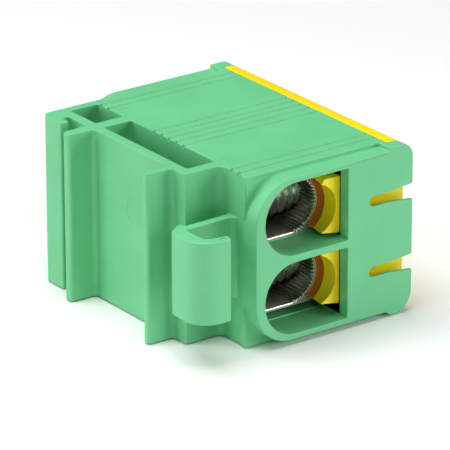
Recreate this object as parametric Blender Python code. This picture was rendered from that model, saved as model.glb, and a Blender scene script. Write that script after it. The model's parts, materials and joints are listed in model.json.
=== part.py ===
"""Two-pole rail-mounted wire terminal block, lying on its side wall.

World axes: +X runs along the conductors, +Y points away from the rail to the screw side, and +Z runs
along the rail. Dimensions are millimetres in the block's own plan: x from the middle of the body, y from
the face that sits on the rail, and z from the side wall that the block lies on. place() turns them into
world metres, with the origin at the bottom centre of the bounding box.
"""

import math

import bmesh
import bpy
from mathutils import Matrix, Vector

MM = 0.001

# Driving dimensions
WIDTH = 30.3                    # along the rail
SHELL_HALF = 22.4               # half length of the main body
COLLAR_HALF = 25.5              # half length over the two wire-entry collars
COLLAR_STEP = 0.72              # how far a collar stands below the side walls
COLLAR_LOW_Y = 6.92             # rail side of a collar
COLLAR_CORNER = 7.4
END_WALL_INNER = 23.2           # inner face of the end walls
END_WALL_FROM_Y = 34.4          # the end wall takes the full width from here up
TOP_Y = 39.4                    # outer face of the end walls and the cover
UPPER_CORNER = 2.5
LOWER_CORNER = 3.8
WALL_TOP_Y = 35.65              # top edge of the side walls, under the cover
GAP = 0.3                       # clearance between pieces that touch
SLIVER = 0.03                   # keeps two cuts from sharing one plane

# Rail foot
RAIL_WALL_X = -18.6             # wall that the rail's edge meets
HOOK_LIP_X = -16.6
HOOK_LOW_Y = -3.0
RAIL_SLOT = 1.3                 # slot between the hook and the seat
HOOK_CORNER = 1.5
RIB_LOW_Y = -5.1
RIBS_X = ((-13.08, -11.07), (10.05, 11.6))
SEAT_END_X = 15.2
RECESS_Y = 7.3
POCKETS_X = ((-20.8, -13.2), (-10.8, 13.25))
POCKET_LOW_Y, POCKET_HIGH_Y = 1.85, 7.4
POCKET_WEB = 2.5                # web left between the pockets of the two sides

# Wire entries and inner chambers
ENTRY_PITCH = 14.06             # between the two entries
ENTRY_R = 6.37
ENTRY_CENTRE_Y = 15.2
ENTRY_TOP_Y = 25.8
CLAMP_PITCH = 12.7              # between the two clamp bodies, their guides and slots
CHAMBER_Z = (0.72, 13.35)       # chamber of one pole, from the middle plane
CHAMBER_LOW_Y = 8.6
CHAMBER_HALF = 19.0
SLOT_R = 0.88
SLOT_CLOSED_Y = 31.2
SLOT_FLARE_Y = 34.6
SLOT_MOUTH = 1.5

# Clamp bodies and screws
CLAMP_HALF = 18.7
CLAMP_SIDE = 5.4                # half width
CLAMP_TOP_Y = 31.0
BORE_R = 4.7
BORE_LOW_Y, BORE_HIGH_Y = 14.6, 19.2
SCREW_X = 10.4
SCREW_R = 4.5
SCREW_HOLE_R = 4.8
SCREW_TIP_Y = 17.5
SOCKET_FLATS = 5.0
SOCKET_DEPTH = 5.0
PAD_R = 4.2
PAD_Y = (15.5, 17.1)

# Cover and wire guides
COVER_HALF = 22.95
COVER_LOW_Y = WALL_TOP_Y + GAP
COVER_CORNER = 3.45             # over the lower side wall
ACCESS_R = 5.5
SCALLOP_HALF = 5.8
SCALLOP_DEPTH = 0.45
GUIDE_X = (19.0, 22.95)
GUIDE_HALF = 5.05
GUIDE_SHOULDER = 0.55           # how much narrower a tongue is at its lower end
GUIDE_TAPER_Y = 24.6
GUIDE_CUT_R = 4.9
GUIDE_CUT_Y = 20.2
GUIDE_LOW_Y = 22.4

# Spring clip
CLIP_Z = (7.9, 22.4)
CLIP_ARM_X = 17.35              # face of the arm that looks at the rail
CLIP_THICK = 1.55
CLIP_LEAN = 0.15                # the arm leans out by this much on its way to the catch
CLIP_FLARE = 1.1                # the root widens by this much above CLIP_FLARE_Y
CLIP_FLARE_Y = 5.6
CATCH_X, CATCH_Y = 16.3, -2.1
CATCH_RISE = 0.5
CATCH_NOSE = 0.4
LEAD_IN_X, LEAD_IN_Y = 18.3, -5.1
CLIP_LOW_Y = -5.35
CLIP_FLOOR_X = 19.4             # where the underside of the curl becomes flat
CLIP_REACH_X = 26.6
CURL_LENGTH, CURL_HEIGHT = 4.9, 4.4
CURL_END_Y = 1.4
CURL_TIP = 1.5                  # thickness at the tip of the curl
BEND_X, BEND_Y, BEND_R = 22.55, -0.75, 2.0
BEND_FLOOR_X, BEND_FLOOR_Y = 19.7, -2.6

MIDDLE_Z = WIDTH / 2
CENTRE_X = (CLIP_REACH_X - COLLAR_HALF) / 2
CENTRE_Y = (TOP_Y + CLIP_LOW_Y) / 2


def place(x, y, z):
    """World point in metres of a point of the block's plan in millimetres."""
    return Vector(((x - CENTRE_X) * MM, (y - CENTRE_Y) * MM, z * MM))


def clear_scene():
    for item in list(bpy.data.objects):
        bpy.data.objects.remove(item, do_unlink=True)


def new_collection(name):
    group = bpy.data.collections.new(name)
    bpy.context.scene.collection.children.link(group)
    return group


def new_object(name, mesh, group, origin=(0.0, 0.0, 0.0)):
    """Object whose origin is at a world point, from a mesh given in world metres."""
    mesh.transform(Matrix.Translation(-Vector(origin)))
    item = bpy.data.objects.new(name, mesh)
    item.location = origin
    group.objects.link(item)
    return item


def box_mesh(name, xs, ys, zs):
    low = place(xs[0], ys[0], zs[0])
    high = place(xs[1], ys[1], zs[1])
    size = Matrix.Diagonal((*(high - low), 1.0))
    bm = bmesh.new()
    bmesh.ops.create_cube(bm, size=1.0, matrix=Matrix.Translation((low + high) / 2) @ size)
    mesh = bpy.data.meshes.new(name)
    bm.to_mesh(mesh)
    bm.free()
    return mesh


def turned_mesh(name, x, z, low, high, segments=32):
    """Cylinder or cone along +Y between (y, radius) pairs low and high."""
    bm = bmesh.new()
    to_y = Matrix.Rotation(-math.pi / 2, 4, "X")
    middle = place(x, (low[0] + high[0]) / 2, z)
    bmesh.ops.create_cone(
        bm,
        cap_ends=True,
        segments=segments,
        radius1=low[1] * MM,
        radius2=high[1] * MM,
        depth=(high[0] - low[0]) * MM,
        matrix=Matrix.Translation(middle) @ to_y,
    )
    mesh = bpy.data.meshes.new(name)
    bm.to_mesh(mesh)
    bm.free()
    return mesh


def lies_flat(face):
    """True for a face of a prism's two caps, which includes a triangle of no area."""
    return abs(face.normal.z) > 0.5 or face.calc_area() == 0.0


def outline_mesh(name, points, thickness, to_world):
    """Flat outline in millimetres, extruded to thickness, its caps made one face each, moved by to_world."""
    curve = bpy.data.curves.new(name, "CURVE")
    curve.dimensions = "2D"
    curve.fill_mode = "BOTH"
    curve.extrude = thickness * MM / 2
    spline = curve.splines.new("POLY")
    spline.points.add(len(points) - 1)
    for point, (u, v) in zip(spline.points, points):
        point.co = (u * MM, v * MM, 0.0, 1.0)
    spline.use_cyclic_u = True
    item = bpy.data.objects.new(name, curve)
    bpy.context.scene.collection.objects.link(item)
    evaluated = item.evaluated_get(bpy.context.evaluated_depsgraph_get())
    mesh = bpy.data.meshes.new_from_object(evaluated)
    bpy.data.objects.remove(item, do_unlink=True)
    bm = bmesh.new()
    bm.from_mesh(mesh)
    bmesh.ops.remove_doubles(bm, verts=bm.verts, dist=0.000001)
    inner = [edge for edge in bm.edges if all(lies_flat(face) for face in edge.link_faces)]
    bmesh.ops.dissolve_edges(bm, edges=inner, use_verts=False)
    bm.to_mesh(mesh)
    bm.free()
    mesh.transform(to_world)
    return mesh


def plan_prism(name, points, zs):
    """Outline in the block's x, y plan, between two heights."""
    return outline_mesh(name, points, zs[1] - zs[0], Matrix.Translation(place(0, 0, sum(zs) / 2)))


def end_prism(name, points, xs):
    """Outline in the y, z plane, between two stations along x."""
    turn = Matrix(((0, 0, 1, 0), (1, 0, 0, 0), (0, 1, 0, 0), (0, 0, 0, 1)))
    return outline_mesh(name, points, xs[1] - xs[0], Matrix.Translation(place(sum(xs) / 2, 0, 0)) @ turn)


def arc(u, v, radius, start, end, steps, height=None):
    """Points of an arc around (u, v), angles in degrees, or of an ellipse with a half height of its own."""
    height = height or radius
    angles = [math.radians(start + (end - start) * i / steps) for i in range(steps + 1)]
    return [(u + radius * math.cos(a), v + height * math.sin(a)) for a in angles]


def boolean(item, mesh, operation, cutters):
    """Cut or join a mesh into an object, and bake the result."""
    cutter = new_object(f"{item.name}.{operation.lower()}", mesh, cutters)
    cutter.hide_render = True
    cutter.display_type = "WIRE"
    step = item.modifiers.new(cutter.name, "BOOLEAN")
    step.operation = operation
    step.solver = "EXACT"
    step.object = cutter
    evaluated = item.evaluated_get(bpy.context.evaluated_depsgraph_get())
    baked = bpy.data.meshes.new_from_object(evaluated)
    item.modifiers.clear()
    item.data = baked


def plastic(name, colour, roughness):
    material = bpy.data.materials.new(name)
    material.use_nodes = True
    shader = material.node_tree.nodes["Principled BSDF"]
    shader.inputs["Base Color"].default_value = (*colour, 1.0)
    shader.inputs["Roughness"].default_value = roughness
    return material


def metal(name, colour, roughness):
    material = plastic(name, colour, roughness)
    material.node_tree.nodes["Principled BSDF"].inputs["Metallic"].default_value = 1.0
    return material


def finish(item, material):
    item.data.materials.clear()
    item.data.materials.append(material)
    item.data.shade_smooth()
    item.data.set_sharp_from_angle(angle=math.radians(30))


def pole_z(side, pitch):
    """Height of a pole's centre: side is -1 for the lower pole and 1 for the upper."""
    return MIDDLE_Z + side * pitch / 2


def body_outline():
    """Plan of the housing: rail foot, seat, recess, main body, collars and end walls."""
    points = [(-END_WALL_INNER, WALL_TOP_Y), (-END_WALL_INNER, TOP_Y), (-COLLAR_HALF, TOP_Y)]
    points += [(-COLLAR_HALF, COLLAR_LOW_Y), (-SHELL_HALF, COLLAR_LOW_Y)]
    points += arc(-SHELL_HALF + HOOK_CORNER, HOOK_LOW_Y + HOOK_CORNER, HOOK_CORNER, 180, 270, 6)
    points += [(HOOK_LIP_X, HOOK_LOW_Y), (HOOK_LIP_X, -RAIL_SLOT)]
    points += [(RAIL_WALL_X, -RAIL_SLOT), (RAIL_WALL_X, 0)]
    for low, high in RIBS_X:
        points += [(low, 0), (low, RIB_LOW_Y), (high, RIB_LOW_Y), (high, 0)]
    points += [(SEAT_END_X, 0), (SEAT_END_X, RECESS_Y), (SHELL_HALF, RECESS_Y), (SHELL_HALF, COLLAR_LOW_Y)]
    points += [(COLLAR_HALF, COLLAR_LOW_Y), (COLLAR_HALF, TOP_Y), (END_WALL_INNER, TOP_Y)]
    return points + [(END_WALL_INNER, WALL_TOP_Y)]


def mirrored(points):
    """The same (y, z) outline for the other side wall."""
    return [(y, WIDTH - z) for y, z in points]


def collar_relief_outline():
    """What is missing beside a collar at the lower side wall, as (y, z) points."""
    corner_y, corner_z = COLLAR_LOW_Y + COLLAR_CORNER, COLLAR_STEP + COLLAR_CORNER
    points = [(COLLAR_LOW_Y - 2, corner_z), (COLLAR_LOW_Y - 2, -1), (END_WALL_FROM_Y, -1)]
    points += [(END_WALL_FROM_Y, COLLAR_STEP)]
    return points + arc(corner_y, corner_z, COLLAR_CORNER, 270, 180, 8)


def end_corner_outline(radius):
    """What a rounded end wall corner leaves out at the lower side wall, as (y, z) points."""
    points = arc(TOP_Y - radius, radius, radius, 270, 360, 6)
    return points + [(TOP_Y + 1, radius), (TOP_Y + 1, -1), (TOP_Y - radius, -1)]


def entry_outline(side):
    """Wire entry: half round towards the rail and square towards the cover."""
    centre = pole_z(side, ENTRY_PITCH)
    points = arc(ENTRY_CENTRE_Y, centre, ENTRY_R, 90, 270, 20)
    return points + [(ENTRY_TOP_Y, centre - ENTRY_R), (ENTRY_TOP_Y, centre + ENTRY_R)]


def slot_outline(side):
    """Slot in an end wall, round at its closed end and flared at its mouth."""
    centre = pole_z(side, CLAMP_PITCH)
    points = arc(SLOT_CLOSED_Y, centre, SLOT_R, 90, 270, 8)
    points += [(SLOT_FLARE_Y, centre - SLOT_R), (TOP_Y + 1, centre - SLOT_MOUTH)]
    return points + [(TOP_Y + 1, centre + SLOT_MOUTH), (SLOT_FLARE_Y, centre + SLOT_R)]


def make_housing(group, cutters, material):
    """Green moulding: foot, chambers, collars and slotted end walls."""
    item = new_object("housing", plan_prism("housing", body_outline(), (0, WIDTH)), group)
    relief = collar_relief_outline()
    for end in (-1, 1):
        span = sorted((end * (SHELL_HALF + SLIVER), end * (COLLAR_HALF + 1)))
        boolean(item, end_prism("relief", relief, span), "DIFFERENCE", cutters)
        boolean(item, end_prism("relief", mirrored(relief), span), "DIFFERENCE", cutters)
    length = (-COLLAR_HALF - 1, COLLAR_HALF + 1)
    boolean(item, end_prism("corner", end_corner_outline(LOWER_CORNER), length), "DIFFERENCE", cutters)
    upper_corner = mirrored(end_corner_outline(UPPER_CORNER))
    boolean(item, end_prism("corner", upper_corner, length), "DIFFERENCE", cutters)
    for side in (-1, 1):
        chamber = sorted(MIDDLE_Z + side * reach for reach in CHAMBER_Z)
        reach = END_WALL_INNER - SLIVER
        upper = box_mesh("upper_chamber", (-reach, reach), (ENTRY_CENTRE_Y, TOP_Y + 5), chamber)
        boolean(item, upper, "DIFFERENCE", cutters)
        lower = box_mesh(
            "lower_chamber", (-CHAMBER_HALF, CHAMBER_HALF), (CHAMBER_LOW_Y, ENTRY_CENTRE_Y + 1), chamber
        )
        boolean(item, lower, "DIFFERENCE", cutters)
        for end in (-1, 1):
            entry_span = sorted((end * (CHAMBER_HALF - 0.5), end * (COLLAR_HALF + 1)))
            entry = end_prism("entry", entry_outline(side), entry_span)
            boolean(item, entry, "DIFFERENCE", cutters)
            wall_span = sorted((end * (END_WALL_INNER - GAP), end * (COLLAR_HALF + 1)))
            slot = end_prism("slot", slot_outline(side), wall_span)
            boolean(item, slot, "DIFFERENCE", cutters)
        for xs in POCKETS_X:
            heights = sorted((MIDDLE_Z + side * POCKET_WEB / 2, MIDDLE_Z + side * WIDTH))
            pocket = box_mesh("pocket", xs, (POCKET_LOW_Y, POCKET_HIGH_Y), heights)
            boolean(item, pocket, "DIFFERENCE", cutters)
    finish(item, material)


def clip_outline():
    """J shape of the spring clip: root, arm, catch, lead-in ramp and finger curl."""
    root_y = RECESS_Y - GAP
    inner_x = CLIP_ARM_X + CLIP_THICK
    points = [(CLIP_ARM_X, root_y), (CLIP_ARM_X + CLIP_LEAN, CATCH_Y + CATCH_RISE)]
    points += [(CATCH_X, CATCH_Y), (CATCH_X, CATCH_Y - CATCH_NOSE), (LEAD_IN_X, LEAD_IN_Y)]
    points += [(CLIP_FLOOR_X, CLIP_LOW_Y)]
    curl_x, curl_y = CLIP_REACH_X - CURL_LENGTH, CLIP_LOW_Y + CURL_HEIGHT
    points += arc(curl_x, curl_y, CURL_LENGTH, 270, 360, 10, CURL_HEIGHT)
    points += [(CLIP_REACH_X, CURL_END_Y), (CLIP_REACH_X - CURL_TIP, CURL_END_Y)]
    points += arc(BEND_X, BEND_Y, BEND_R, 0, -90, 8)
    points += [(BEND_FLOOR_X, BEND_FLOOR_Y), (inner_x + CLIP_LEAN, BEND_FLOOR_Y + BEND_R / 3)]
    return points + [(inner_x, CLIP_FLARE_Y), (inner_x + CLIP_FLARE, root_y)]


def make_rail_clip(group, material):
    """Spring arm with its catch for the rail's edge and the curl that releases it."""
    hinge = place(CLIP_ARM_X + CLIP_THICK / 2, RECESS_Y - GAP, MIDDLE_Z)
    item = new_object("rail_clip", plan_prism("rail_clip", clip_outline(), CLIP_Z), group, hinge)
    finish(item, material)


def cover_outline():
    """Section of the cover plate, as (y, z) points."""
    points = [(COVER_LOW_Y, 0)]
    points += arc(TOP_Y - COVER_CORNER, COVER_CORNER, COVER_CORNER, 270, 360, 6)
    points += arc(TOP_Y - UPPER_CORNER, WIDTH - UPPER_CORNER, UPPER_CORNER, 0, 90, 6)
    return points + [(COVER_LOW_Y, WIDTH)]


def scallop_outline(end):
    """Shallow hollow across the cover over a pair of screws, in the x, y plan."""
    radius = (SCALLOP_HALF**2 + SCALLOP_DEPTH**2) / (2 * SCALLOP_DEPTH)
    centre_y = TOP_Y - SCALLOP_DEPTH + radius
    reach = math.degrees(math.asin(SCALLOP_HALF * 1.3 / radius))
    points = arc(end * SCREW_X, centre_y, radius, 270 - reach, 270 + reach, 12)
    return points + [(points[-1][0], TOP_Y + 2), (points[0][0], TOP_Y + 2)]


def make_cover(group, cutters, material):
    """Yellow plate between the end walls, with an access hole over each screw."""
    plate = end_prism("cover", cover_outline(), (-COVER_HALF, COVER_HALF))
    item = new_object("cover", plate, group)
    for end in (-1, 1):
        boolean(item, plan_prism("scallop", scallop_outline(end), (-1, WIDTH + 1)), "DIFFERENCE", cutters)
    for side in (-1, 1):
        for end in (-1, 1):
            x, z = end * SCREW_X, pole_z(side, CLAMP_PITCH)
            hole = turned_mesh("access", x, z, (COVER_LOW_Y - 1, ACCESS_R), (TOP_Y + 1, ACCESS_R), 32)
            boolean(item, hole, "DIFFERENCE", cutters)
    finish(item, material)


def guide_outline(side):
    """Guide tongue seen along x: a plate whose lower edge is cut away around the wire."""
    centre = pole_z(side, CLAMP_PITCH)
    high_y = COVER_LOW_Y - GAP
    shoulder = GUIDE_HALF - GUIDE_SHOULDER
    points = [(high_y, centre - GUIDE_HALF), (GUIDE_TAPER_Y, centre - GUIDE_HALF)]
    points += [(GUIDE_LOW_Y, centre - shoulder)]
    points += arc(GUIDE_CUT_Y, centre, GUIDE_CUT_R, -80, 80, 16)
    points += [(GUIDE_LOW_Y, centre + shoulder)]
    return points + [(GUIDE_TAPER_Y, centre + GUIDE_HALF), (high_y, centre + GUIDE_HALF)]


def make_wire_guides(group, material):
    for side, pole in ((-1, "lower"), (1, "upper")):
        for end, place_name in ((-1, "far"), (1, "near")):
            span = sorted(end * x for x in GUIDE_X)
            name = f"wire_guide_{pole}_{place_name}"
            item = new_object(name, end_prism(name, guide_outline(side), span), group)
            finish(item, material)


def clamp_outline(side):
    """U-shaped section of a clamp body."""
    centre = pole_z(side, CLAMP_PITCH)
    points = arc(BORE_LOW_Y, centre, CLAMP_SIDE, 90, 270, 16)
    return points + [(CLAMP_TOP_Y, centre - CLAMP_SIDE), (CLAMP_TOP_Y, centre + CLAMP_SIDE)]


def bore_outline(side):
    centre = pole_z(side, CLAMP_PITCH)
    points = arc(BORE_LOW_Y, centre, BORE_R, 90, 270, 16)
    return points + arc(BORE_HIGH_Y, centre, BORE_R, -90, 90, 16)


def make_clamp_bodies(group, cutters, material):
    """Plated metal bodies: an oval wire bore along x and a tapped hole for each screw."""
    for side, pole in ((-1, "lower"), (1, "upper")):
        name = f"clamp_body_{pole}"
        section = end_prism(name, clamp_outline(side), (-CLAMP_HALF, CLAMP_HALF))
        item = new_object(name, section, group)
        bore = end_prism("bore", bore_outline(side), (-CLAMP_HALF - 1, CLAMP_HALF + 1))
        boolean(item, bore, "DIFFERENCE", cutters)
        for end in (-1, 1):
            centre = pole_z(side, CLAMP_PITCH)
            low, high = (BORE_HIGH_Y - 1.5, SCREW_HOLE_R), (CLAMP_TOP_Y + 1, SCREW_HOLE_R)
            hole = turned_mesh("tapped_hole", end * SCREW_X, centre, low, high)
            boolean(item, hole, "DIFFERENCE", cutters)
        finish(item, material)


def make_screws(group, cutters, screw_material, pad_material):
    """Socket set screws and the pressure pads that they push on the wires."""
    for side, pole in ((-1, "lower"), (1, "upper")):
        for end, place_name in ((-1, "far"), (1, "near")):
            x, z = end * SCREW_X, pole_z(side, CLAMP_PITCH)
            name = f"clamp_screw_{pole}_{place_name}"
            shank = turned_mesh(name, x, z, (SCREW_TIP_Y, SCREW_R), (CLAMP_TOP_Y, SCREW_R))
            item = new_object(name, shank, group, place(x, CLAMP_TOP_Y, z))
            corner = SOCKET_FLATS / math.sqrt(3)
            low = (CLAMP_TOP_Y - SOCKET_DEPTH, corner)
            socket = turned_mesh("socket", x, z, low, (CLAMP_TOP_Y + 1, corner), 6)
            boolean(item, socket, "DIFFERENCE", cutters)
            finish(item, screw_material)
            name = f"pressure_pad_{pole}_{place_name}"
            disc = turned_mesh(name, x, z, (PAD_Y[0], PAD_R), (PAD_Y[1], PAD_R))
            pad = new_object(name, disc, group, place(x, PAD_Y[1], z))
            finish(pad, pad_material)


clear_scene()
parts = new_collection("rail_terminal_block")
cutters = new_collection("cutters")
green = plastic("green_polyamide", (0.17, 0.57, 0.31), 0.45)
yellow = plastic("yellow_polyamide", (0.95, 0.76, 0.02), 0.4)
tinned = metal("tinned_aluminium", (0.62, 0.63, 0.62), 0.35)
steel = metal("zinc_plated_steel", (0.5, 0.51, 0.52), 0.3)

make_housing(parts, cutters, green)
make_rail_clip(parts, green)
make_cover(parts, cutters, yellow)
make_wire_guides(parts, yellow)
make_clamp_bodies(parts, cutters, tinned)
make_screws(parts, cutters, steel, tinned)
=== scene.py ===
"""Looks of a two-pole rail-mounted terminal block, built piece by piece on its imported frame.

Sizes are millimetres in the block's own plan: x runs along the conductors from the middle of the body,
y runs away from the rail from the face that rests on it, and z runs along the rail from the middle plane
between the two poles. settle() moves a finished piece from that plan to its place in the frame.
"""

import json
import math

import bmesh
import bpy
from mathutils import Matrix, Vector

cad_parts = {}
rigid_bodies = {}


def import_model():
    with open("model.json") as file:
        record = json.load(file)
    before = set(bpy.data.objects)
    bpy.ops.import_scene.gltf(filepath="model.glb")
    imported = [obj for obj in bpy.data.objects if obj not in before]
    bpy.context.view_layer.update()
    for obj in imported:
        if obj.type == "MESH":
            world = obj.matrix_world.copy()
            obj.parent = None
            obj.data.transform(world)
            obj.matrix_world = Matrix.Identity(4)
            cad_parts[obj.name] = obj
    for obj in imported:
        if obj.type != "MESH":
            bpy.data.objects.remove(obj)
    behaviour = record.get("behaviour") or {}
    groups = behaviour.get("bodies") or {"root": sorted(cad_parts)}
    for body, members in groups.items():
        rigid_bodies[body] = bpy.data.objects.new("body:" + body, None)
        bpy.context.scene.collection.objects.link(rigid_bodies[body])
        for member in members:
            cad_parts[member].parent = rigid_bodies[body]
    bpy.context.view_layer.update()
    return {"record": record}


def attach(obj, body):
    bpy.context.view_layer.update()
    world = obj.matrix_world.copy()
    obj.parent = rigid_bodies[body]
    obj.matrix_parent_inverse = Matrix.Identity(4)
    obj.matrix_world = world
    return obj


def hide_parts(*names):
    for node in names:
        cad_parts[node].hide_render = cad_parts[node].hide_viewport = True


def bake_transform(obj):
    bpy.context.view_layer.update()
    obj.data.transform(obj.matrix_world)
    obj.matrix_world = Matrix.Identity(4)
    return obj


for item in list(bpy.data.objects):
    bpy.data.objects.remove(item)

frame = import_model()


# Camera, lights and floor
# A long lens looks down on the end with the wire entries and the clip, over a white card. Three large soft
# lamps, a small one near the camera and a faint white surround light the block as a studio tent would.
azimuth, elevation, roll = (math.radians(angle) for angle in (53.99, 21.81, -0.148))
aim = Vector((0.0059413, -0.0026513, 0.01515))
distance = 0.7246

camera = bpy.data.objects.new("camera", bpy.data.cameras.new("camera"))
camera.data.sensor_width = 36.0
camera.data.lens = 345.34
camera.data.clip_start = 0.05
turn = Matrix.Rotation(azimuth, 4, "Z") @ Matrix.Rotation(math.pi / 2 - elevation, 4, "X")
turn = turn @ Matrix.Rotation(roll, 4, "Z")
camera.matrix_world = Matrix.Translation(aim + turn.to_3x3() @ Vector((0, 0, distance))) @ turn
bpy.context.scene.collection.objects.link(camera)
bpy.context.scene.camera = camera


def linear(hex_colour):
    """Linear RGBA of an sRGB colour written as RRGGBB."""
    channels = [int(hex_colour[i : i + 2], 16) / 255 for i in (0, 2, 4)]
    return [c / 12.92 if c <= 0.04045 else ((c + 0.055) / 1.055) ** 2.4 for c in channels] + [1.0]


def shaded(name):
    """New material, its node tree and its shader."""
    material = bpy.data.materials.new(name)
    material.use_nodes = True
    return material, material.node_tree, material.node_tree.nodes["Principled BSDF"]


def soft_lamp(name, place, power, width, height):
    """Rectangular lamp at a place in metres from the block, facing it."""
    lamp = bpy.data.objects.new(name, bpy.data.lights.new(name, "AREA"))
    lamp.data.shape = "RECTANGLE"
    lamp.data.size, lamp.data.size_y = width, height
    lamp.data.energy = power
    lamp.location = place
    lamp.rotation_euler = (-Vector(place)).to_track_quat("-Z", "Y").to_euler()
    bpy.context.scene.collection.objects.link(lamp)


soft_lamp("overhead", (-0.05, -0.10, 0.60), 3.9, 0.50, 0.45)
soft_lamp("front_left", (-0.30, -0.60, 0.24), 1.9, 0.36, 0.36)
soft_lamp("right", (0.50, 0.36, 0.20), 1.8, 0.30, 0.30)
soft_lamp("camera_side", (0.55, -0.26, 0.34), 0.42, 0.07, 0.07)

surround = bpy.data.worlds.new("surround")
surround.use_nodes = True
sky = surround.node_tree.nodes["Background"]
sky.inputs["Color"].default_value = linear("FFFFFF")
sky.inputs["Strength"].default_value = 0.05
bpy.context.scene.world = surround
bpy.context.scene.view_settings.view_transform = "Standard"

card, _, card_shader = shaded("matt white card")
card_shader.inputs["Roughness"].default_value = 0.9
card_shader.inputs["Base Color"].default_value = linear("F7F7F6")
sheet = bmesh.new()
bmesh.ops.create_grid(sheet, x_segments=1, y_segments=1, size=3.0)
floor = bpy.data.objects.new("floor", bpy.data.meshes.new("floor"))
sheet.to_mesh(floor.data)
sheet.free()
floor.location.z = -0.0002          # just clear of the wall that the block lies on
floor.data.materials.append(card)
bpy.context.scene.collection.objects.link(floor)


# Housing
# One injection moulding in green polyamide: the foot with its hook and ribs, a chamber for each pole, the
# collars around the wire entries and the slotted end walls. Every edge carries a small mould radius.
seat = Vector(next(m["pos_m"] for m in frame["record"]["mounts"] if m["name"] == "rail_seat"))
WALL = 15.15                    # middle plane to the outside of a side wall
TOP = 39.4                      # rail seat to the outer face of the end walls
RIM = 35.65                     # rail seat to the edge of the side walls that the cover rests on
SHELL, COLLAR = 22.4, 25.5      # middle to the ends of the body and of the collars
END_WALL = 23.2                 # middle to the inner face of the end walls
COLLAR_LOW = 6.92               # rail seat to the near side of the collars
COLLAR_SIDE = 14.43             # middle plane to the flank of a collar
COLLAR_CORNER = 7.39            # radius of a collar's corners
POLE = 6.35                     # middle plane to the middle of a clamp body
ENTRY = 7.03                    # middle plane to the middle of a wire entry
ENTRY_LOW, ENTRY_TOP = 8.83, 25.8    # rail seat to both ends of a wire entry
ENTRY_HALF, SLOT_HALF = 6.37, 0.88   # half widths of a wire entry and of a slot in an end wall
PAST_END, PAST_TOP = 27.0, 41.0      # stations outside the block, where cuts end
SHY = 0.01                      # a full round's two corners stop this far short of meeting
MOULD_RADIUS = 0.2
ENDS = SIDES = (-1, 1)
MM = 0.001
SHARP = math.radians(32)        # an edge that turns by more than this shows as an edge


def round_edges(bm, edges, radius, segments):
    """Round some edges of a bmesh."""
    bmesh.ops.bevel(
        bm,
        geom=edges,
        offset=radius,
        segments=segments,
        profile=0.5,
        affect="EDGES",
        material=-1,
    )


def prism(corners, low, high, along):
    """Solid with (u, v) corners, each with a radius if it has a third number, between two stations."""
    bm = bmesh.new()
    bm.faces.new([bm.verts.new((corner[0], corner[1], low)) for corner in corners])
    grown = bmesh.ops.extrude_face_region(bm, geom=bm.faces[:])
    lifted = [item for item in grown["geom"] if isinstance(item, bmesh.types.BMVert)]
    bmesh.ops.translate(bm, verts=lifted, vec=(0, 0, high - low))
    for corner in corners:
        if len(corner) == 3:
            spot = Vector(corner[:2])
            edges = [e for e in bm.edges if all((v.co.xy - spot).length < 0.0001 for v in e.verts)]
            round_edges(bm, edges, corner[2], math.ceil(2 + 2 * corner[2]))
    turns = {
        "x": Matrix(((0, 0, 1), (1, 0, 0), (0, 1, 0))),
        "y": Matrix(((0, 1, 0), (0, 0, 1), (1, 0, 0))),
        "z": Matrix.Identity(3),
    }
    bmesh.ops.transform(bm, matrix=turns[along].to_4x4(), verts=bm.verts)
    bmesh.ops.recalc_face_normals(bm, faces=bm.faces)
    return bm


def block(xs, ys, zs):
    """Plain box between two x, two y and two z stations, each pair in any order."""
    corners = [(ys[0], zs[0]), (ys[1], zs[0]), (ys[1], zs[1]), (ys[0], zs[1])]
    return prism(corners, *sorted(xs), "x")


def drum(x, z, low, high, low_radius, high_radius, sides=48):
    """Cylinder, cone or hexagonal bar along y between two stations."""
    bm = bmesh.new()
    place = Matrix.Translation((x, (low + high) / 2, z)) @ Matrix.Rotation(-math.pi / 2, 4, "X")
    bmesh.ops.create_cone(
        bm,
        cap_ends=True,
        segments=sides,
        radius1=low_radius,
        radius2=high_radius,
        depth=high - low,
        matrix=place,
    )
    return bm


def wheel(x, y, z, radius, depth, sides, stretch=1.0):
    """Cylinder along z around its centre, stretched along y if need be."""
    bm = bmesh.new()
    bmesh.ops.create_cone(
        bm,
        cap_ends=True,
        segments=sides,
        radius1=radius,
        radius2=radius,
        depth=depth,
        matrix=Matrix.Translation((x, y, z)) @ Matrix.Diagonal((1.0, stretch, 1.0, 1.0)),
    )
    return bm


def piece(name, bm):
    """New object of a bmesh, still in millimetres."""
    thing = bpy.data.objects.new(name, bpy.data.meshes.new(name))
    bm.to_mesh(thing.data)
    bm.free()
    bpy.context.scene.collection.objects.link(thing)
    return thing


def bake(thing):
    """Make a piece's modifiers part of its mesh."""
    evaluated = thing.evaluated_get(bpy.context.evaluated_depsgraph_get())
    mesh = bpy.data.meshes.new_from_object(evaluated)
    thing.modifiers.clear()
    thing.data = mesh


def carve(thing, tools, operation="DIFFERENCE"):
    """Cut every tool out of a piece, or join it on."""
    shapes = [piece("tool", tool) for tool in tools]
    for shape in shapes:
        step = thing.modifiers.new("tool", "BOOLEAN")
        step.operation = operation
        step.solver = "MANIFOLD"
        step.object = shape
    bake(thing)
    for shape in shapes:
        bpy.data.objects.remove(shape)


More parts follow.
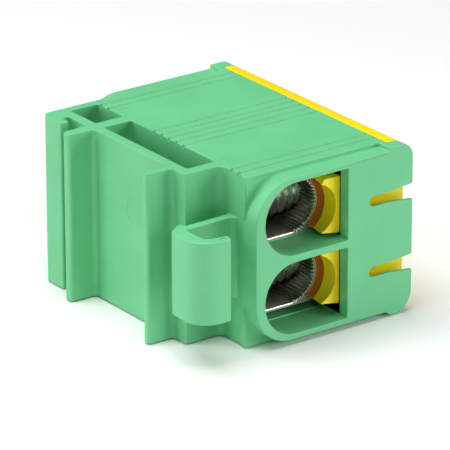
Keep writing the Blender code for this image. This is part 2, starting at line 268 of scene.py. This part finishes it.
def soften(thing, radius):
    """Round every sharp edge, inside corners too, and keep the piece within the box that it had."""
    bm = bmesh.new()
    bm.from_mesh(thing.data)
    bmesh.ops.remove_doubles(bm, verts=bm.verts, dist=0.001)
    bmesh.ops.dissolve_limit(bm, angle_limit=math.radians(0.5), verts=bm.verts, edges=bm.edges)
    limits = [[pick(v.co[i] for v in bm.verts) for pick in (min, max)] for i in range(3)]
    bm.to_mesh(thing.data)
    bm.free()
    edge = thing.modifiers.new("edge", "BEVEL")
    edge.width = radius
    edge.segments = 3
    edge.limit_method = "ANGLE"
    edge.angle_limit = SHARP
    edge.use_clamp_overlap = False
    edge.loop_slide = False
    edge.miter_outer = "MITER_ARC"
    bake(thing)
    for vert in thing.data.vertices:
        vert.co = [min(max(value, low), high) for value, (low, high) in zip(vert.co, limits)]


def settle(thing, material):
    """Move a piece to its place in the frame and give it its finish."""
    thing.data.transform(Matrix.Translation(seat) @ Matrix.Scale(MM, 4))
    thing.data.materials.clear()
    thing.data.materials.append(material)
    thing.data.shade_smooth()
    thing.data.set_sharp_from_angle(angle=SHARP)
    thing.modifiers.new("flat faces", "WEIGHTED_NORMAL").keep_sharp = True


def add(tree, kind, sockets=None, **settings):
    """Add a node: settings are its properties, sockets its inputs, as values or as sockets to link."""
    node = tree.nodes.new(kind)
    for name, value in settings.items():
        setattr(node, name, value)
    for name, value in (sockets or {}).items():
        if isinstance(value, bpy.types.NodeSocket):
            tree.links.new(value, node.inputs[name])
        else:
            node.inputs[name].default_value = value
    return node


def moulded_plastic(name, light, dark, roughness):
    """Polyamide from a fine spark-eroded mould: satin, with a faint cloud in its colour."""
    material, tree, shader = shaded(name)
    place = add(tree, "ShaderNodeTexCoord").outputs["Object"]
    flow = add(tree, "ShaderNodeTexNoise", {"Vector": place, "Scale": 1000 / FLOW_MARK, "Detail": 3.0})
    cloud = add(tree, "ShaderNodeValToRGB", {"Fac": flow.outputs["Fac"]})
    cloud.color_ramp.elements[0].position, cloud.color_ramp.elements[1].position = 0.35, 0.65
    cloud.color_ramp.elements[0].color, cloud.color_ramp.elements[1].color = linear(dark), linear(light)
    tree.links.new(cloud.outputs["Color"], shader.inputs["Base Color"])
    grain = add(tree, "ShaderNodeTexNoise", {"Vector": place, "Scale": 1000 / SPARK_GRAIN, "Detail": 4.0})
    span = {"Value": grain.outputs["Fac"], "To Min": roughness - 0.06, "To Max": roughness + 0.06}
    gloss = add(tree, "ShaderNodeMapRange", span)
    tree.links.new(gloss.outputs["Result"], shader.inputs["Roughness"])
    dents = {"Strength": 0.25, "Distance": 0.03 * MM, "Height": grain.outputs["Fac"]}
    relief = add(tree, "ShaderNodeBump", dents)
    tree.links.new(relief.outputs["Normal"], shader.inputs["Normal"])
    shader.inputs["IOR"].default_value = 1.53
    return material


# Spark-eroded grain is about 0.05 mm; it is drawn at 0.4 mm, the finest that still shows.
SPARK_GRAIN = 0.4
FLOW_MARK = 9.0
green_polyamide = moulded_plastic("moulded green polyamide", "6ECB91", "68C58A", 0.46)

# Outline from the side: the far end wall, the hook, the seat with its two ribs, the recess for the clip and
# the near end wall.
far_wall = [(-END_WALL, RIM), (-END_WALL, TOP), (-COLLAR, TOP), (-COLLAR, COLLAR_LOW), (-SHELL, COLLAR_LOW)]
hook = [(-SHELL, -3.0, 1.5), (-16.6, -3.0, 0.4), (-16.6, -1.3, 0.3), (-18.6, -1.3, 0.3), (-18.6, 0.0, 0.3)]
ribs = []
for low, high in ((-13.08, -11.07), (10.05, 11.6)):
    ribs += [(low, 0.0, 0.9), (low, -5.1, 0.65), (high, -5.1, 0.65), (high, 0.0, 0.9)]
recess = [(15.2, 0.0, 0.35), (15.2, 7.3, 1.4), (20.9, 7.3), (21.7, COLLAR_LOW)]
near_wall = [(COLLAR, COLLAR_LOW), (COLLAR, TOP), (END_WALL, TOP), (END_WALL, RIM)]
plan = far_wall + hook + ribs + recess + near_wall
housing = piece("housing", prism(plan, -WALL - 1, WALL + 1, "z"))

section = [(-9.0, -WALL), (TOP, -WALL, 3.8), (TOP, WALL, 2.5), (-9.0, WALL)]
carve(housing, [prism(section, -COLLAR - 1, COLLAR + 1, "x")], "INTERSECT")

# What is missing beside a collar: the collar stands 0.72 back from the side walls with 7.4 mm corners, and
# runs out in a slope on the lower wall and in a step on the upper one.
relief_low = [(4.9, -16.5), (37.06, -16.5), (33.9, -COLLAR_SIDE)]
relief_low += [(COLLAR_LOW, -COLLAR_SIDE, COLLAR_CORNER), (COLLAR_LOW, -7.0), (4.9, -7.0)]
relief_high = [(4.9, 16.5), (4.9, 7.0), (COLLAR_LOW, 7.0)]
relief_high += [(COLLAR_LOW, COLLAR_SIDE, COLLAR_CORNER), (34.4, COLLAR_SIDE), (34.4, 16.5)]
tools = []
for end in ENDS:
    outside = sorted((end * SHELL, end * (COLLAR + 1)))
    tools += [prism(relief_low, *outside, "x"), prism(relief_high, *outside, "x")]
carve(housing, tools)

# Each pole has a chamber that the cover closes, with a well in it for the round back of its clamp body. The
# wire entries lead into it at both ends. The end walls are slotted, and hollow behind the slots.
tools = []
for side in SIDES:
    chamber = (side * 0.72, side * 13.35)
    tools.append(block((-23.17, 23.17), (15.2, 45.0), chamber))
    tools.append(block((-19.0, 19.0), (8.6, 16.2), chamber))
    for end in ENDS:
        low, high, full = side * ENTRY - ENTRY_HALF, side * ENTRY + ENTRY_HALF, ENTRY_HALF - SHY
        entry = [(ENTRY_TOP, low), (ENTRY_TOP, high), (ENTRY_LOW, high, full), (ENTRY_LOW, low, full)]
        tools.append(prism(entry, *sorted((end * 18.5, end * PAST_END)), "x"))
        middle = side * POLE
        low, high, full = middle - SLOT_HALF, middle + SLOT_HALF, SLOT_HALF - SHY
        slot = [(30.32, low, full), (34.6, low), (40.4, middle - 1.5)]
        slot += [(40.4, middle + 1.5), (34.6, high), (30.32, high, full)]
        tools.append(prism(slot, *sorted((end * 22.9, end * PAST_END)), "x"))
        hollow = (middle - 2.6, middle + 2.6)
        tools.append(block((end * 22.9, end * 24.9), (29.9, PAST_TOP), hollow))
    for left, right in ((-20.8, -13.2), (-10.8, 13.25)):
        pocket = [(left, 1.85, 0.4), (right, 1.85, 0.4), (right, 7.4, 0.4), (left, 7.4, 0.4)]
        tools.append(prism(pocket, *sorted((side * 1.25, side * 17.0)), "z"))
carve(housing, tools)
soften(housing, MOULD_RADIUS)

# Fine guide grooves run down both side walls, with a small notch where each leaves the wall. On the lower
# wall they stop short of the foot.
tools = []
for side in SIDES:
    face = side * WALL
    groove_z, notch_z, open_z = face - side * 0.45, face - side * 0.6, face + side * 0.2
    for x in (-19.95, -17.8, -4.25, -2.1, 0.0, 2.1, 4.25, 17.8, 19.95):
        groove = [(open_z, x - 0.36), (open_z, x + 0.36), (groove_z, x + 0.08), (groove_z, x - 0.08)]
        tools.append(prism(groove, 6.5 if side > 0 else 8.3, 36.5, "y"))
        notch = [(open_z, x - 0.5), (open_z, x + 0.5), (notch_z, x + 0.2), (notch_z, x - 0.2)]
        tools.append(prism(notch, 35.1, 36.5, "y"))
        if side > 0:
            tools.append(prism(notch, 6.7, 7.9, "y"))
carve(housing, tools)

# Shallow round marks of the ejector pins, on the upper side and on the rail seat.
pins = ((-15.2, 9.3, 1.15), (14.2, 9.3, 1.15), (-12.05, 1.2, 0.8))
tools = [wheel(x, y, WALL + 0.05, radius, 0.2, 32) for x, y, radius in pins]
tools.append(drum(0.7, 4.0, -0.1, 0.05, 2.4, 2.4))
carve(housing, tools)
settle(housing, green_polyamide)
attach(housing, "housing")
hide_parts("housing")


# Rail clip
# A springy J moulded with the housing: a thin arm, a catch that grips the rail's edge, a ramp that rides
# over it, and a curl for the fingertip. It bends near its root, so it is blended into the housing there.
arm_in, arm_out = 17.35, 18.9   # middle to both faces of the arm at its root
clip_side = 7.25                # half width of the clip
root_and_arm = [(16.0, 8.1), (16.0, 7.5), (arm_in, 7.3, 0.8), (17.5, -1.6, 0.2)]
catch_and_ramp = [(16.3, -2.1, 0.12), (16.4, -2.5, 0.12), (18.3, -5.1, 0.6)]
curl = [(20.4, -5.33, 1.5), (26.6, -5.33, 4.1), (26.6, 1.05, 0.3), (25.05, 1.35, 0.3), (24.5, -2.75, 1.6)]
back_of_arm = [(19.05, -2.6, 0.3), (arm_out, 7.3, 1.2), (20.6, 7.5), (20.6, 8.1)]
clip_plan = root_and_arm + catch_and_ramp + curl + back_of_arm
rail_clip = piece("rail_clip", prism(clip_plan, -clip_side, clip_side, "z"))
soften(rail_clip, 0.22)
carve(rail_clip, [wheel(25.85, -0.1, clip_side, 0.42, 0.3, 24, stretch=1.6)])

# Cuts across the arm, 1 mm apart, give it vertices to bend at.
bend = bmesh.new()
bend.from_mesh(rail_clip.data)
for y in range(-1, 7):
    geometry = bend.verts[:] + bend.edges[:] + bend.faces[:]
    bmesh.ops.bisect_plane(bend, geom=geometry, plane_co=(0, y + 0.3, 0), plane_no=(0, 1, 0))
bend.to_mesh(rail_clip.data)
bend.free()
settle(rail_clip, green_polyamide)
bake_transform(rail_clip)
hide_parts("rail_clip")


# Cover
# Yellow polyamide plate that snaps between the end walls, dished over each pair of screws, with a round
# hole through which a driver reaches each screw.
SCREW = 10.4                    # middle to the axis of a screw
yellow_polyamide = moulded_plastic("moulded yellow polyamide", "FFE414", "FCDC10", 0.38)
cover_low = RIM + 0.01
cover_section = [(cover_low, -WALL), (TOP, -WALL, 3.45), (TOP, WALL, 2.5), (cover_low, WALL)]
cover = piece("cover", prism(cover_section, -22.98, 22.98, "x"))
HOLE, HOLE_MOUTH = 5.5, 6.3     # radii of a driver hole and of its mouth
DISH, DISH_DEPTH = 38.0, 0.45   # radius of the dish's curve, and its depth
tools = []
for end in ENDS:
    tools.append(wheel(end * SCREW, TOP - DISH_DEPTH + DISH, 0, DISH, 40.0, 256))
    for side in SIDES:
        tools.append(drum(end * SCREW, side * POLE, 34.0, PAST_TOP, HOLE, HOLE))
        tools.append(drum(end * SCREW, side * POLE, TOP - 1.0, TOP, HOLE, HOLE_MOUTH))
carve(cover, tools)
soften(cover, MOULD_RADIUS)
settle(cover, yellow_polyamide)
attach(cover, "housing")
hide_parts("cover")


# Wire guides
# A tongue of the same yellow plastic reaches down behind each wire entry. Its lower edge is cut as two
# cones that meet in a crease, so that the strands of a conductor are led into the metal bore. The inner
# cone is painted orange-brown: painted shade, the yellow plastic as it looks deep in the entry.
def oval_cone(stations):
    """Closed tapered body through (x, y of the centre, radius) stations, facing along x."""
    bm = bmesh.new()
    loops = []
    for x, y, radius in stations:
        place = Matrix.Translation((x, y, 0)) @ Matrix.Rotation(math.pi / 2, 4, "Y")
        made = bmesh.ops.create_circle(bm, segments=64, radius=radius, matrix=place)
        loops.append([e for e in bm.edges if all(v in made["verts"] for v in e.verts)])
    for first, second in zip(loops, loops[1:]):
        bmesh.ops.bridge_loops(bm, edges=first + second)
    bmesh.ops.holes_fill(bm, edges=bm.edges, sides=64)
    bmesh.ops.recalc_face_normals(bm, faces=bm.faces)
    return bm


# Painted shade: the guide's yellow plastic, coloured a darker orange-brown for its inner cone deep in the
# entry.
yellow_painted_shade = moulded_plastic("yellow polyamide with painted shade", "BE6400", "AE5800", 0.5)
tongue = [(39.2, -5.05), (25.8, -5.05), (22.2, -4.45), (20.6, -2.65), (19.0, -2.0)]
tongue += [(19.0, 2.6), (21.3, 3.3), (22.6, 5.1), (39.2, 5.1)]
lead_in = [(16.0, 18.2, 4.3), (18.72, 19.1, 5.12), (20.05, 19.45, 5.55), (24.6, 21.17, 3.98)]
GUIDE_BACK, GUIDE_FACE = 18.72, 23.12
for side, pole in zip(SIDES, ("lower", "upper")):
    for end, place_name in zip(ENDS, ("far", "near")):
        name = f"wire_guide_{pole}_{place_name}"
        guide = piece(name, prism(tongue, GUIDE_BACK, GUIDE_FACE, "x"))
        plate_top = 6.9 if side > 0 else 5.5
        plate = block((GUIDE_BACK, 20.6), (19.0, 39.0), (2.0, plate_top))
        shoulder = block((GUIDE_BACK, 21.6), (25.2, 39.0), (2.0, plate_top))
        carve(guide, [plate, shoulder], "UNION")
        carve(guide, [oval_cone(lead_in)])
        soften(guide, 0.12)
        # Faces of the inner cone, which get the painted shade.
        painted_shade_cone = [18.8 < face.center.x < 20.0 and face.center.y < 25.1 for face in guide.data.polygons]
        guide.data.transform(Matrix.Translation((0, 0, side * POLE)) @ Matrix.Diagonal((end, 1, 1, 1)))
        if end < 0:
            guide.data.flip_normals()
        settle(guide, yellow_polyamide)
        guide.data.materials.append(yellow_painted_shade)
        for face, inner in zip(guide.data.polygons, painted_shade_cone):
            face.material_index = int(inner)
        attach(guide, "housing")
        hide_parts(name)


# Clamp bodies
# Tinned aluminium bars with a round back. An oval bore runs through each for the conductors, with ribs on
# its round walls to grip them and a flared, lipped mouth at both ends, and two round holes take the screws.
BORE, BACK_Y, FRONT_Y = 4.7, 14.6, 19.2    # bore radius, and rail seat to the centres of its round walls
RIB_HEIGHT, MOUTH_FLARE, LIP_GROWTH = 0.34, 0.5, 0.28
CLAMP_TOP, CLAMP_END, CLAMP_SIDE = 31.0, 18.7, 5.4    # rail seat to the top, half length and half width
SCREW_HOLE = 4.8                # radius of a hole for a screw


def plated_metal(name, colour, grain, detail, smooth, rough, relief=0.0):
    """Metal whose gloss runs from smooth to rough over grains of a size in millimetres."""
    material, tree, shader = shaded(name)
    shader.inputs["Metallic"].default_value = 1.0
    shader.inputs["Base Color"].default_value = linear(colour)
    place = add(tree, "ShaderNodeTexCoord").outputs["Object"]
    texture = add(tree, "ShaderNodeTexNoise", {"Vector": place, "Scale": 1000 / grain, "Detail": detail})
    height = texture.outputs["Fac"]
    gloss = add(tree, "ShaderNodeMapRange", {"Value": height, "To Min": smooth, "To Max": rough})
    tree.links.new(gloss.outputs["Result"], shader.inputs["Roughness"])
    if relief:
        bump = add(tree, "ShaderNodeBump", {"Strength": relief, "Distance": 0.02 * MM, "Height": height})
        tree.links.new(bump.outputs["Normal"], shader.inputs["Normal"])
    return material


# Plating crystals of about 0.3 mm give the tin its soft sparkle. The lip is painted a lighter, whiter tin:
# a painted highlight for the glint along the mouth of the bore.
tinned_aluminium = plated_metal("tinned aluminium", "B9B8AE", 0.3, 3.0, 0.26, 0.42, relief=0.15)
# Painted highlight: a near-white, partly non-metallic tin that makes the mouth's edge read as a glint.
lip_painted_highlight, _, lip_highlight_shader = shaded("tin lip with painted highlight")
lip_highlight_shader.inputs["Metallic"].default_value = 0.7
lip_highlight_shader.inputs["Base Color"].default_value = linear("F6F3E6")
lip_highlight_shader.inputs["Roughness"].default_value = 0.22


def bore_outline():
    """(y, z) corners of the oval bore, with ribs on its round walls and the back wall's sides plain."""
    ribs, corners = 22, []
    for middle, start in ((FRONT_Y, -90), (BACK_Y, 90)):
        for rib in range(ribs):
            plain = middle == BACK_Y and abs(rib + 0.5 - ribs / 2) > 0.3 * ribs
            crest = BORE if plain else BORE - RIB_HEIGHT
            for share, radius in ((0.05, BORE), (0.4, BORE), (0.55, crest), (0.9, crest)):
                angle = math.radians(start + 180 * (rib + share) / ribs)
                corners.append((middle + radius * math.cos(angle), radius * math.sin(angle)))
        corners.append((middle, BORE * math.sin(math.radians(start + 180))))
    return corners


def mouth_lip(x, growth):
    """Thin rolled lip that follows the mouth of a bore."""
    lip = bpy.data.objects.new("lip", bpy.data.curves.new("lip", "CURVE"))
    lip.data.dimensions = "3D"
    lip.data.bevel_depth = 0.08
    lip.data.bevel_resolution = 2
    run = lip.data.splines.new("POLY")
    run.use_cyclic_u = True
    outline, centre_y, scale = bore_outline(), (BACK_Y + FRONT_Y) / 2, 1 + growth / BORE
    run.points.add(len(outline) - 1)
    for point, (y, z) in zip(run.points, outline):
        point.co = (x, centre_y + (y - centre_y) * scale, z * scale, 1.0)
    bpy.context.scene.collection.objects.link(lip)
    mesh = bpy.data.meshes.new_from_object(lip.evaluated_get(bpy.context.evaluated_depsgraph_get()))
    bpy.data.objects.remove(lip)
    return mesh


def ribbed_bore(low, high, low_growth, high_growth):
    """Cutter for the bore between two x stations, grown by so much at each."""
    bm = prism(bore_outline(), low, high, "x")
    centre_y = (BACK_Y + FRONT_Y) / 2
    for vert in bm.verts:
        scale = 1 + (high_growth if vert.co.x > (low + high) / 2 else low_growth) / BORE
        vert.co.y = centre_y + (vert.co.y - centre_y) * scale
        vert.co.z *= scale
    return bm


back, full = BACK_Y - CLAMP_SIDE, CLAMP_SIDE - SHY
clamp_section = [(CLAMP_TOP, -CLAMP_SIDE), (CLAMP_TOP, CLAMP_SIDE)]
clamp_section += [(back, CLAMP_SIDE, full), (back, -CLAMP_SIDE, full)]
for side, pole in zip(SIDES, ("lower", "upper")):
    name = f"clamp_body_{pole}"
    clamp = piece(name, prism(clamp_section, -CLAMP_END, CLAMP_END, "x"))
    tools = [ribbed_bore(-19.0, 19.0, 0.0, 0.0)]
    tools.append(ribbed_bore(17.5, 18.9, -0.1, MOUTH_FLARE))
    tools.append(ribbed_bore(-18.9, -17.5, MOUTH_FLARE, -0.1))
    tools += [drum(end * SCREW, 0, FRONT_Y - 1.5, 32.0, SCREW_HOLE, SCREW_HOLE) for end in ENDS]
    tools += [drum(end * SCREW, 0, 30.6, 31.2, SCREW_HOLE, SCREW_HOLE + 0.4) for end in ENDS]
    carve(clamp, tools)
    lips = bmesh.new()
    lips.from_mesh(clamp.data)
    bar_faces = len(lips.faces)
    for end in ENDS:
        lips.from_mesh(mouth_lip(end * (CLAMP_END - 0.12), LIP_GROWTH))
    lips.to_mesh(clamp.data)
    lips.free()
    clamp.data.transform(Matrix.Translation((0, 0, side * POLE)))
    settle(clamp, tinned_aluminium)
    # The lips get the painted highlight.
    clamp.data.materials.append(lip_painted_highlight)
    for face in clamp.data.polygons[bar_faces:]:
        face.material_index = 1
    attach(clamp, "housing")
    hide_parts(name)


# Clamp screws
# Zinc-plated socket screws with a 1.5 mm thread and a hexagon socket, cut off flat at the tip. Each drives
# a tinned pressure pad down on to the strands.
PITCH, CREST, ROOT = 1.5, 4.66, 3.95
SCREW_TIP, SCREW_HEAD, SOCKET = 17.5, 31.0, 2.89    # both ends, and the corner radius of the socket
PAD_LOW, PAD_HIGH, PAD_RADIUS = 15.5, 17.1, 4.2
# Rolled threads keep smears about 0.5 mm across.
zinc_steel = plated_metal("zinc-plated steel", "C4C3BC", 0.5, 2.0, 0.16, 0.34)


def threaded_rod(low, high):
    """Rod along y with a helical thread, cut flat at both ends."""
    bm = bmesh.new()
    start = low - 1.5 * PITCH
    flank = [(ROOT, 0.0), (ROOT + 0.1, 0.16), (CREST, 0.62)]
    flank += [(CREST, 0.88), (ROOT + 0.1, 1.34), (ROOT, PITCH)]
    points = [bm.verts.new((radius, start + y, 0)) for radius, y in flank]
    for first, second in zip(points, points[1:]):
        bm.edges.new((first, second))
    turns, steps = math.ceil((high - low) / PITCH) + 2, 40
    bmesh.ops.spin(
        bm,
        geom=bm.verts[:] + bm.edges[:],
        cent=(0, 0, 0),
        axis=(0, 1, 0),
        dvec=(0, PITCH / steps, 0),
        angle=2 * math.pi * turns,
        steps=steps * turns,
    )
    bmesh.ops.remove_doubles(bm, verts=bm.verts, dist=0.001)
    for y, normal in ((low, -1), (high, 1)):
        geometry = bm.verts[:] + bm.edges[:] + bm.faces[:]
        bmesh.ops.bisect_plane(
            bm,
            geom=geometry,
            plane_co=(0, y, 0),
            plane_no=(0, normal, 0),
            clear_outer=True,
        )
        rim = [e for e in bm.edges if e.is_boundary and all(abs(v.co.y - y) < 0.001 for v in e.verts)]
        bmesh.ops.contextual_create(bm, geom=rim)
    bmesh.ops.recalc_face_normals(bm, faces=bm.faces)
    return bm


for side, pole in zip(SIDES, ("lower", "upper")):
    for end, place_name in zip(ENDS, ("far", "near")):
        name = f"clamp_screw_{pole}_{place_name}"
        screw = piece(name, threaded_rod(SCREW_TIP, SCREW_HEAD))
        carve(screw, [drum(0, 0, 26.0, 32.0, SOCKET, SOCKET, 6), drum(0, 0, 30.6, 31.1, 2.9, 3.4)])
        screw.data.transform(Matrix.Translation((end * SCREW, 0, side * POLE)))
        settle(screw, zinc_steel)
        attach(screw, name)
        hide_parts(name)

        name = f"pressure_pad_{pole}_{place_name}"
        disc = drum(end * SCREW, side * POLE, PAD_LOW, PAD_HIGH, PAD_RADIUS, PAD_RADIUS)
        rims = [e for e in disc.edges if abs(e.verts[0].co.y - e.verts[1].co.y) < 0.001]
        round_edges(disc, rims, 0.3, 3)
        pad = piece(name, disc)
        settle(pad, tinned_aluminium)
        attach(pad, name)
        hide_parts(name)
